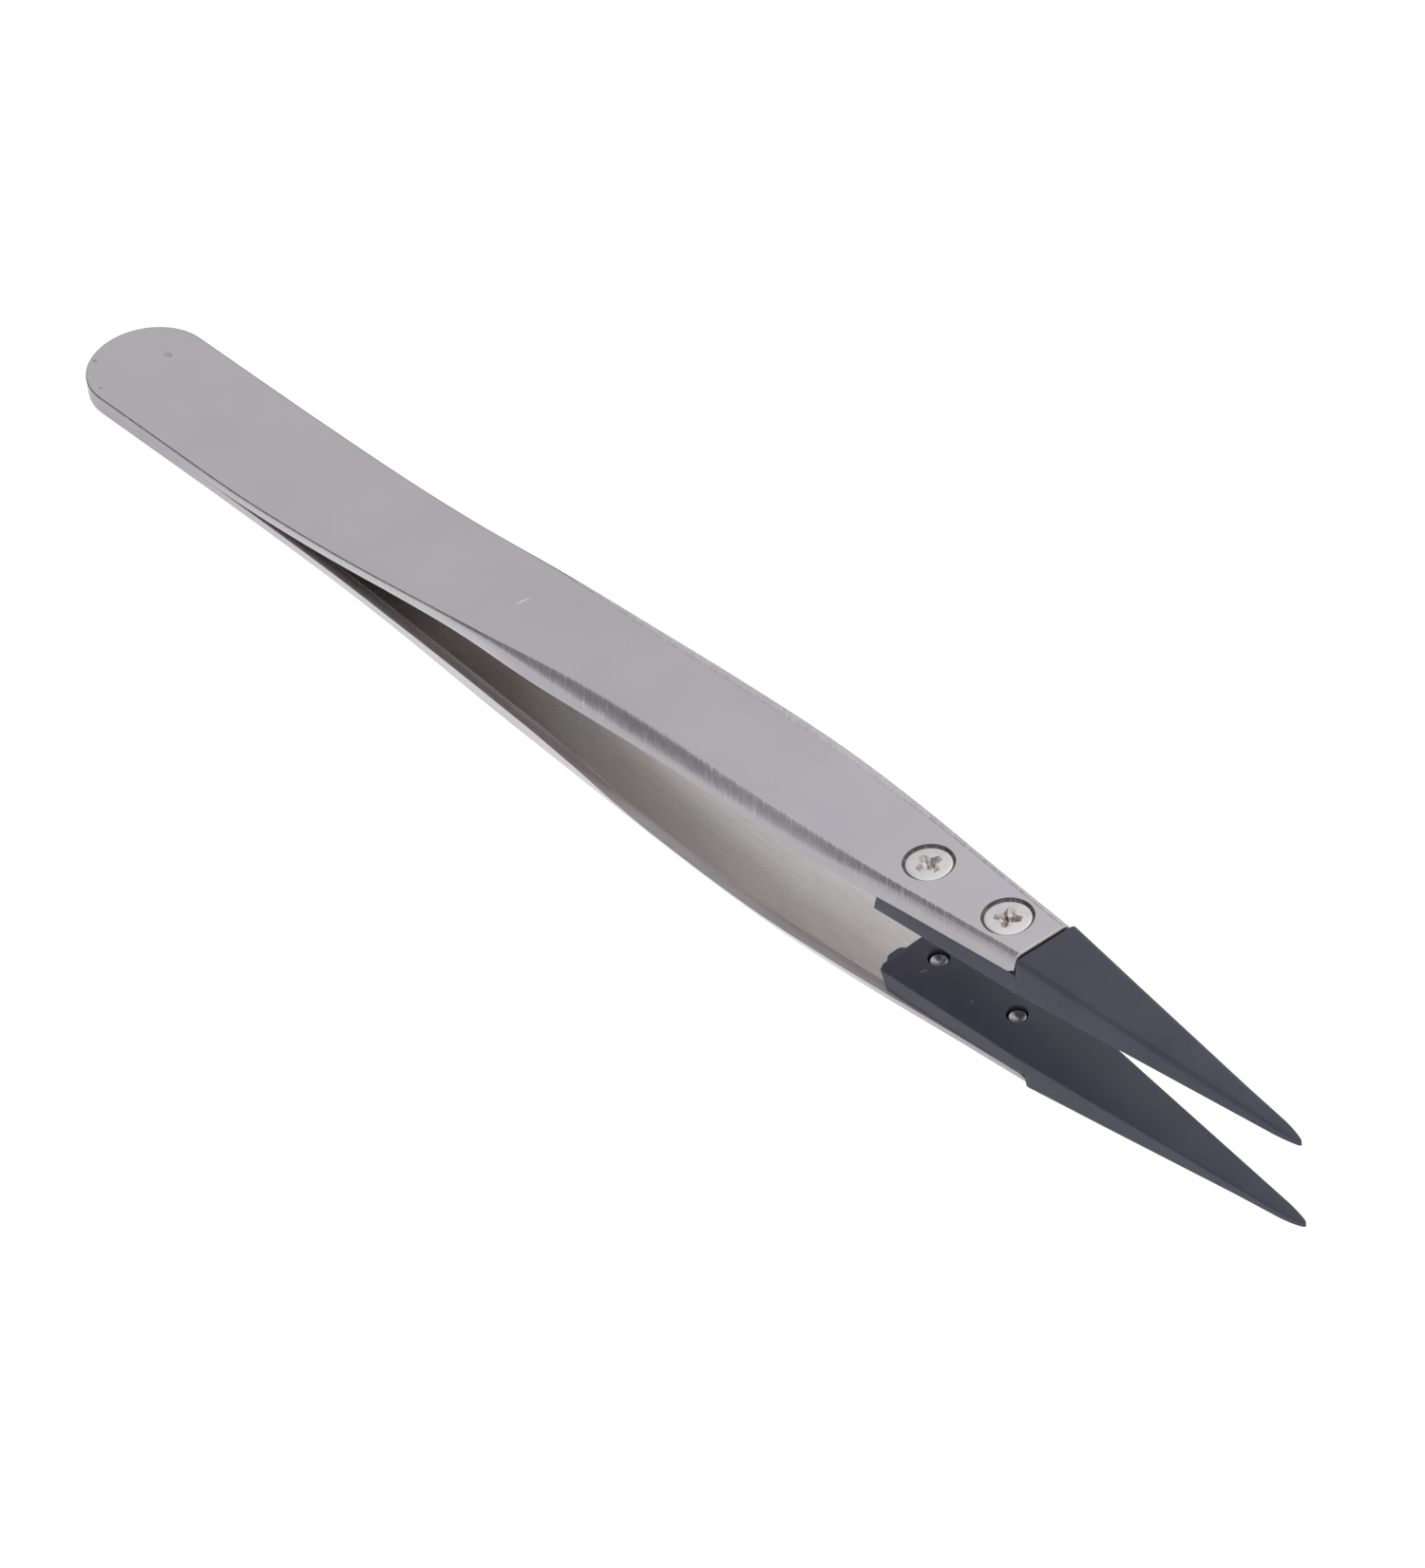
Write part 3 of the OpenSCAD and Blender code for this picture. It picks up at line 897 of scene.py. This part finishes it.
def mix_colour(tree, factor, a, b, blend="MIX"):
    """Colour a turned towards b by a factor; a may be another node's colour."""
    node = add(tree, "ShaderNodeMix", data_type="RGBA", blend_type=blend)
    if isinstance(a, tuple):
        node.inputs["A"].default_value = (*a, 1)
    else:
        tree.links.new(a, node.inputs["A"])
    node.inputs["B"].default_value = (*b, 1)
    tree.links.new(factor, node.inputs["Factor"])
    return node.outputs["Result"]


def tinted(tree, factor, colour, tint):
    """A colour multiplied by a tint, by a factor."""
    return mix_colour(tree, factor, colour, tint, "MULTIPLY")


def bump(tree, height, distance, strength, normal=None):
    """Normal that follows a height, of a size in metres, on top of another normal."""
    node = add(tree, "ShaderNodeBump", Strength=strength, Distance=distance)
    tree.links.new(height, node.inputs["Height"])
    if normal is not None:
        tree.links.new(normal, node.inputs["Normal"])
    return node.outputs["Normal"]


def away_from(tree, where, location, size, turn=0.0):
    """Distance from a location in metres, in shares of a size in mm along each axis."""
    length = add(tree, "ShaderNodeVectorMath", operation="LENGTH")
    tree.links.new(mapped(tree, where, location, [s / 1000 for s in size], turn), length.inputs[0])
    return length.outputs["Value"]


def spot(tree, where, centre, size, turn=0.0):
    """A soft mask around a place of the strips' own frame, of a size in mm."""
    return remap(tree, away_from(tree, where, in_model(centre), size, turn), *SPOT_FADE, 1, 0)


def zones_of(tree):
    """The four weights that a piece's points carry."""
    zone = add(tree, "ShaderNodeAttribute", attribute_name="zone")
    parts = add(tree, "ShaderNodeSeparateColor")
    tree.links.new(zone.outputs["Color"], parts.inputs["Color"])
    return (*(parts.outputs[k] for k in ("Red", "Green", "Blue")), zone.outputs["Alpha"])


def on_top(x, y):
    """A place on the upper strip's outer face."""
    return (x, y, outer_z(x))


def along(tree, x, stretch, low, high):
    """A value that goes from low to high over a stretch of the strips, in mm from the tail."""
    return remap(tree, x, *(in_model((end, 0, 0))[0] for end in stretch), low, high)


# stretches over which the steel's finish and its painted light and shade change, in mm from the tail
DULL_FROM, DULL_TO = (68, 78), (86, 92)
STROKES_END = (97, 103)
SHADE_FROM, SHADE_TO = (42, 46), (49, 56)
PALE_LIGHT_FROM = (66, 76)
# the same across the strips, in metres from their middle
HAIR_SIDES, PALE_LIGHT_SIDES = (-0.002, 0.002), (0.0012, 0.0028)
STEEL_DARK, STEEL_PALE, STEEL_COOL = (0.559, 0.530, 0.554), (0.594, 0.565, 0.586), (0.97, 1.0, 1.03)
# bends: painted dark reflection on the strokes, painted light on the dull stretch, hairs painted bright as
# glints
STROKE_SHADE_TINT, DULL_LIGHT_TINT, HAIR_GLINT = (0.71, 0.68, 0.75), (1.12, 1.12, 1.12), (0.74, 0.72, 0.73)
# inner faces: warmer, with painted shade behind the grip and painted light on their sides in front
INNER_TINT, SHADE_TINT, PALE_LIGHT_TINT = (1.035, 1.03, 0.97), (0.84, 0.83, 0.82), (1.12, 1.12, 1.12)
# ground lines; ground edges paler for their fresh finish and for painted light; painted shade in the
# countersinks and tightest bends
LINE_TINT, GROUND_FINISH_AND_LIGHT, SINK_SHADE_TINT = (0.90, 0.87, 0.86), (1.18, 1.16, 1.12), (0.20, 0.18, 0.18)
STAIN_TINT, DOT_TINT, NICK = (0.90, 0.78, 0.78), (0.72, 0.70, 0.72), (0.86, 0.85, 0.86)
# marks on the upper face: (x, y, size, tint)
FACE_MARKS = (
    (4.8, 1.9, (0.5, 0.35, 0.5), STAIN_TINT),
    (1.2, -2.4, (0.25, 0.25, 0.25), DOT_TINT),
    (4.1, -4.1, (0.2, 0.2, 0.2), DOT_TINT),
    (5.1, 2.0, (0.16, 0.16, 0.16), DOT_TINT),
)
NICK_X, NICK_Y, NICK_SIZE, NICK_TURN = 49.6, 0.2, (0.12, 0.75, 0.4), -12


def plain_steel(tree, where):
    """The steel's own colour, in soft clouds."""
    cloud = noise(tree, where, 110, detail=3)
    cool = noise(tree, where, 160, (1.6, 1, 1), 30, detail=2)
    colour = mix_colour(tree, remap(tree, cloud, *NOISE_MID, 0, 1), STEEL_DARK, STEEL_PALE)
    return tinted(tree, remap(tree, cool, 0.4, 0.7, 0, 1), colour, STEEL_COOL)


def bent_steel(tree, where, x, y, colour, bend, strokes, dull):
    """Adds the bends' polishing strokes with their painted dark reflection, their dull stretch with
    painted light, and their hairs painted bright as glints.
    """
    # how strongly the strokes' painted dark reflection shows along the strip
    worn = product(tree, along(tree, x, DULL_TO, 0.75, 0.97), along(tree, x, STROKES_END, 1, 0.35))
    dark = product(tree, remap(tree, strokes, 0.40, 0.60, 0.25, 0.85), product(tree, bend, worn))
    colour = tinted(tree, dark, colour, STROKE_SHADE_TINT)
    colour = tinted(tree, product(tree, bend, dull), colour, DULL_LIGHT_TINT)
    hairs = remap(tree, noise(tree, where, 4600, (1, 8, 8), 44, detail=2), 0.61, 0.74, 0, 1)
    hair_side = remap(tree, y, *HAIR_SIDES, 1, 0.3)
    return mix_colour(tree, product(tree, hairs, product(tree, bend, hair_side)), colour, HAIR_GLINT)


def inner_steel(tree, x, y, colour, inner):
    """Warms the inner faces, paints shade on them behind the grip and paints light on their sides in
    front.
    """
    colour = tinted(tree, inner, colour, INNER_TINT)
    shade = product(tree, along(tree, x, SHADE_FROM, 0, 1), along(tree, x, SHADE_TO, 1, 0))
    colour = tinted(tree, product(tree, inner, shade), colour, SHADE_TINT)
    beside = remap(tree, maths(tree, "ABSOLUTE", y, 0), *PALE_LIGHT_SIDES, 0, 1)
    beside = product(tree, beside, along(tree, x, PALE_LIGHT_FROM, 0, 1))
    return tinted(tree, product(tree, inner, beside), colour, PALE_LIGHT_TINT)


def steel_material():
    """Satin stainless steel with strokes on the bends and ground lines inside and on the edges, with
    painted light and shade on the bends, inner faces, ground edges and countersinks.
    """
    material, tree, bsdf = nodes_of("strip_steel")
    where = add(tree, "ShaderNodeTexCoord").outputs["Object"]
    parts = add(tree, "ShaderNodeSeparateXYZ")
    tree.links.new(where, parts.inputs[0])
    x, y = parts.outputs[0], parts.outputs[1]
    bend, inner, ground, sink_shade = zones_of(tree)
    bsdf.inputs["Metallic"].default_value = 1.0

    grain = noise(tree, where, 5200, detail=2)
    fine = noise(tree, where, 5000, (1, 6, 6), 48, detail=3)
    coarse = noise(tree, where, 2100, (1, 4, 4), 35, detail=3)
    strokes = maths(tree, "ADD", product(tree, fine, 0.6), product(tree, coarse, 0.4))
    lines = noise(tree, where, 5200, (30, 1, 1), detail=3)
    scratch = remap(tree, noise(tree, where, 900, (16, 1, 1), 35, detail=1), 0.70, 0.74, 0, 1)
    dull = product(tree, along(tree, x, DULL_FROM, 0, 1), along(tree, x, DULL_TO, 1, 0))
    brushed = maths(tree, "ADD", product(tree, inner, 0.7), ground)
    nick = spot(tree, where, on_top(NICK_X, NICK_Y), NICK_SIZE, NICK_TURN)

    colour = plain_steel(tree, where)
    colour = bent_steel(tree, where, x, y, colour, bend, strokes, dull)
    colour = inner_steel(tree, x, y, colour, inner)
    dark_lines = product(tree, remap(tree, lines, 0.35, 0.65, 0, 1), brushed)
    # ground lines, ground edges paler for their finish and painted light, painted shade in the
    # countersinks and tightest bends
    for weight, tint in ((dark_lines, LINE_TINT), (ground, GROUND_FINISH_AND_LIGHT), (sink_shade, SINK_SHADE_TINT)):
        colour = tinted(tree, weight, colour, tint)
    for mark_x, mark_y, size, tint in FACE_MARKS:
        colour = tinted(tree, spot(tree, where, on_top(mark_x, mark_y), size), colour, tint)
    colour = mix_colour(tree, nick, colour, NICK)
    tree.links.new(colour, bsdf.inputs["Base Color"])

    rough = remap(tree, grain, *NOISE_MID, 0.19, 0.26)
    on_bend = remap(tree, dull, 0, 1, 0.05, 0.16)
    for weight, more in ((bend, on_bend), (inner, 0.08), (ground, 0.2), (scratch, 0.03), (nick, 0.3)):
        rough = maths(tree, "ADD", rough, product(tree, weight, more))
    tree.links.new(rough, bsdf.inputs["Roughness"])

    normal = bump(tree, grain, 4e-6, 0.3)
    normal = bump(tree, product(tree, strokes, bend), 8e-5, 0.8, normal)
    normal = bump(tree, product(tree, lines, brushed), 6e-6, 0.5, normal)
    tree.links.new(normal, bsdf.inputs["Normal"])
    return material


PLASTIC_DARK, PLASTIC_PALE, RUB = (0.0485, 0.0485, 0.079), (0.0625, 0.0615, 0.0955), (0.16, 0.16, 0.17)
# rubbed places on the lower jaw face: (x, y, size, turn in degrees)
RUBS = ((94.05, -1.71, (0.15, 0.4, 0.3), -20), (98.66, -1.39, (0.12, 0.2, 0.3), -20))


def plastic_material():
    """Charcoal moulded plastic with a fine grain and two rubbed places."""
    material, tree, bsdf = nodes_of("tip_plastic")
    where = add(tree, "ShaderNodeTexCoord").outputs["Object"]
    cloud = noise(tree, where, 300, detail=4)
    colour = mix_colour(tree, remap(tree, cloud, *NOISE_MID, 0, 1), PLASTIC_DARK, PLASTIC_PALE)
    for x, y, size, turned in RUBS:
        colour = mix_colour(tree, spot(tree, where, (x, y, -jaw_z(x)), size, turned), colour, RUB)
    tree.links.new(colour, bsdf.inputs["Base Color"])
    grain = noise(tree, where, 6000, detail=2)
    tree.links.new(remap(tree, grain, *NOISE_MID, 0.40, 0.54), bsdf.inputs["Roughness"])
    tree.links.new(bump(tree, grain, 8e-6, 0.3), bsdf.inputs["Normal"])
    return material


NICKEL_DARK, NICKEL_PALE = (0.70, 0.675, 0.68), (0.77, 0.745, 0.75)
# painted glints in the recesses, painted dark reflections on their facets, and the shank's darker tone
RECESS_GLINT_TINT, FACET_SHADE_TINT, SHANK_TINT = (1.28, 1.27, 1.25), (0.38, 0.335, 0.31), (0.62, 0.62, 0.65)


def nickel_material():
    """Bright nickel plating with painted glints and painted dark reflections on the facets in the
    recesses, and a duller shank.
    """
    material, tree, bsdf = nodes_of("screw_nickel")
    where = add(tree, "ShaderNodeTexCoord").outputs["Object"]
    recess, shank, _, _ = zones_of(tree)
    bsdf.inputs["Metallic"].default_value = 1.0
    cloud = noise(tree, where, 1500, detail=3)
    facets = remap(tree, noise(tree, where, 2300, detail=1), 0.43, 0.57, 0, 1)
    colour = mix_colour(tree, remap(tree, cloud, *NOISE_MID, 0, 1), NICKEL_DARK, NICKEL_PALE)
    colour = tinted(tree, recess, colour, RECESS_GLINT_TINT)
    colour = tinted(tree, product(tree, recess, facets), colour, FACET_SHADE_TINT)
    colour = tinted(tree, shank, colour, SHANK_TINT)
    tree.links.new(colour, bsdf.inputs["Base Color"])
    rough = remap(tree, cloud, *NOISE_MID, 0.16, 0.26)
    tree.links.new(maths(tree, "ADD", rough, product(tree, shank, 0.12)), bsdf.inputs["Roughness"])
    return material


steel = steel_material()
plastic = plastic_material()
nickel = nickel_material()


def dress(obj, material):
    """Gives a piece its material."""
    obj.data.materials.clear()
    obj.data.materials.append(material)


# Pieces
for side, mirrored in (("upper", False), ("lower", True)):
    arm = side + "_arm"
    strip = make_strip(side + "_strip", mirrored)
    dress(strip, steel)
    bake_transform(strip)
    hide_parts(arm, arm + "_tail")
    tip = make_tip(side + "_point", mirrored)
    dress(tip, plastic)
    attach(tip, arm)
    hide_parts(side + "_tip")
    for place_name, x, spin in SCREWS:
        screw = make_screw(f"{side}_{place_name}_fastener", x, spin, mirrored)
        dress(screw, nickel)
        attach(screw, arm)
        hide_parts(f"{side}_{place_name}_screw")

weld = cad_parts["tail_weld"]
weld.data.materials.clear()
weld.data.materials.append(steel)

# Floor and light, in metres where nothing else is said
FLOOR_HALF = 3.0
FLOOR_GREY, FLOOR_GLOW, FLOOR_WHITE = (0.45, 0.45, 0.45, 1), 0.46, 0.40
# middle and half sizes of the pool of light on the floor, in mm, and its soft edge in shares of them
POOL_X, POOL_Y, POOL_SIZE = 58, -5.5, (38, 3, 1000)
POOL_EDGE = (0.75, 1.25)
# strengths of the studio's walls, and the directions over which they change
SKY_LOW, SKY_HIGH, SKY_SPAN = 0.65, 0.77, (0, 0.9)
FAR_WALL, FAR_SPAN = 1.35, (0.52, 0.78)
DARK_LEVEL, DARK_ACROSS, DARK_UP, DARK_BACK = 0.40, (0.37, 0.02), (0.0, 0.62), (-0.2, -0.45)
KEY_AT, KEY_SIZE, KEY_ENERGY = (-0.25, 0.35, 0.75), 0.6, 0.25


def floor_material():
    """Plain pale floor that is white to the camera, with a pool of light that only mirrors show."""
    material = bpy.data.materials.new("floor")
    material.use_nodes = True
    tree = material.node_tree
    tree.nodes.clear()
    diffuse = add(tree, "ShaderNodeBsdfDiffuse", Color=FLOOR_GREY)
    glow = add(tree, "ShaderNodeEmission", Color=(1, 1, 1, 1))
    path = add(tree, "ShaderNodeLightPath")
    where = add(tree, "ShaderNodeTexCoord").outputs["Object"]
    pool_at = (in_model((POOL_X, 0, 0))[0], POOL_Y / 1000, 0)
    near = remap(tree, away_from(tree, where, pool_at, POOL_SIZE), *POOL_EDGE, 1, 0)
    seen, glossy, through = (path.outputs[f"Is {ray} Ray"] for ray in ("Camera", "Glossy", "Transmission"))
    mirrored_rays = maths(tree, "ADD", glossy, through)
    level = maths(tree, "ADD", seen, product(tree, mirrored_rays, near))
    level = product(tree, level, FLOOR_WHITE)
    tree.links.new(maths(tree, "ADD", level, FLOOR_GLOW), glow.inputs["Strength"])
    both = add(tree, "ShaderNodeAddShader")
    tree.links.new(diffuse.outputs[0], both.inputs[0])
    tree.links.new(glow.outputs[0], both.inputs[1])
    out = add(tree, "ShaderNodeOutputMaterial")
    tree.links.new(both.outputs[0], out.inputs["Surface"])
    return material


def make_studio():
    """Pale walls, lighter overhead, with a dark side to the left of the camera that pales downwards."""
    world = bpy.data.worlds.new("studio")
    bpy.context.scene.world = world
    world.use_nodes = True
    tree = world.node_tree
    tree.nodes.clear()
    direction = add(tree, "ShaderNodeTexCoord").outputs["Generated"]
    facing = []
    for axis in ((1, 0, 0), (0, 1, 0), (0, 0, 1)):
        part = add(tree, "ShaderNodeVectorMath", operation="DOT_PRODUCT")
        part.inputs[1].default_value = model_direction(axis)
        tree.links.new(direction, part.inputs[0])
        facing.append(part.outputs["Value"])
    back, across, up = facing
    sky = remap(tree, up, *SKY_SPAN, SKY_LOW, SKY_HIGH)
    sky = product(tree, sky, remap(tree, across, *FAR_SPAN, 1, FAR_WALL))
    gap = product(tree, remap(tree, across, *DARK_ACROSS, 0, 1), remap(tree, up, *DARK_UP, 0, 1))
    gap = product(tree, gap, remap(tree, back, *DARK_BACK, 0, 1))
    gap = remap(tree, gap, 0, 1, 1, DARK_LEVEL)
    background = add(tree, "ShaderNodeBackground", Color=(1, 1, 1, 1))
    tree.links.new(product(tree, sky, gap), background.inputs["Strength"])
    out = add(tree, "ShaderNodeOutputWorld")
    tree.links.new(background.outputs[0], out.inputs["Surface"])


def softbox(name, at, towards, size, energy):
    """A round soft lamp."""
    data = bpy.data.lights.new(name, "AREA")
    data.shape = "DISK"
    data.size = size
    data.energy = energy
    obj = bpy.data.objects.new(name, data)
    obj.location = at
    obj.rotation_mode = "QUATERNION"
    obj.rotation_quaternion = (Vector(towards) - Vector(at)).to_track_quat("-Z", "Y")
    bpy.context.scene.collection.objects.link(obj)


floor_mesh = bpy.data.meshes.new("floor")
floor_corners = [(x * FLOOR_HALF, y * FLOOR_HALF, 0) for x, y in ((-1, -1), (1, -1), (1, 1), (-1, 1))]
floor_mesh.from_pydata(floor_corners, [], [(0, 1, 2, 3)])
floor_mesh.materials.append(floor_material())
floor = bpy.data.objects.new("floor", floor_mesh)
bpy.context.scene.collection.objects.link(floor)

make_studio()
softbox("key", KEY_AT, (0, 0, 0), KEY_SIZE, KEY_ENERGY)
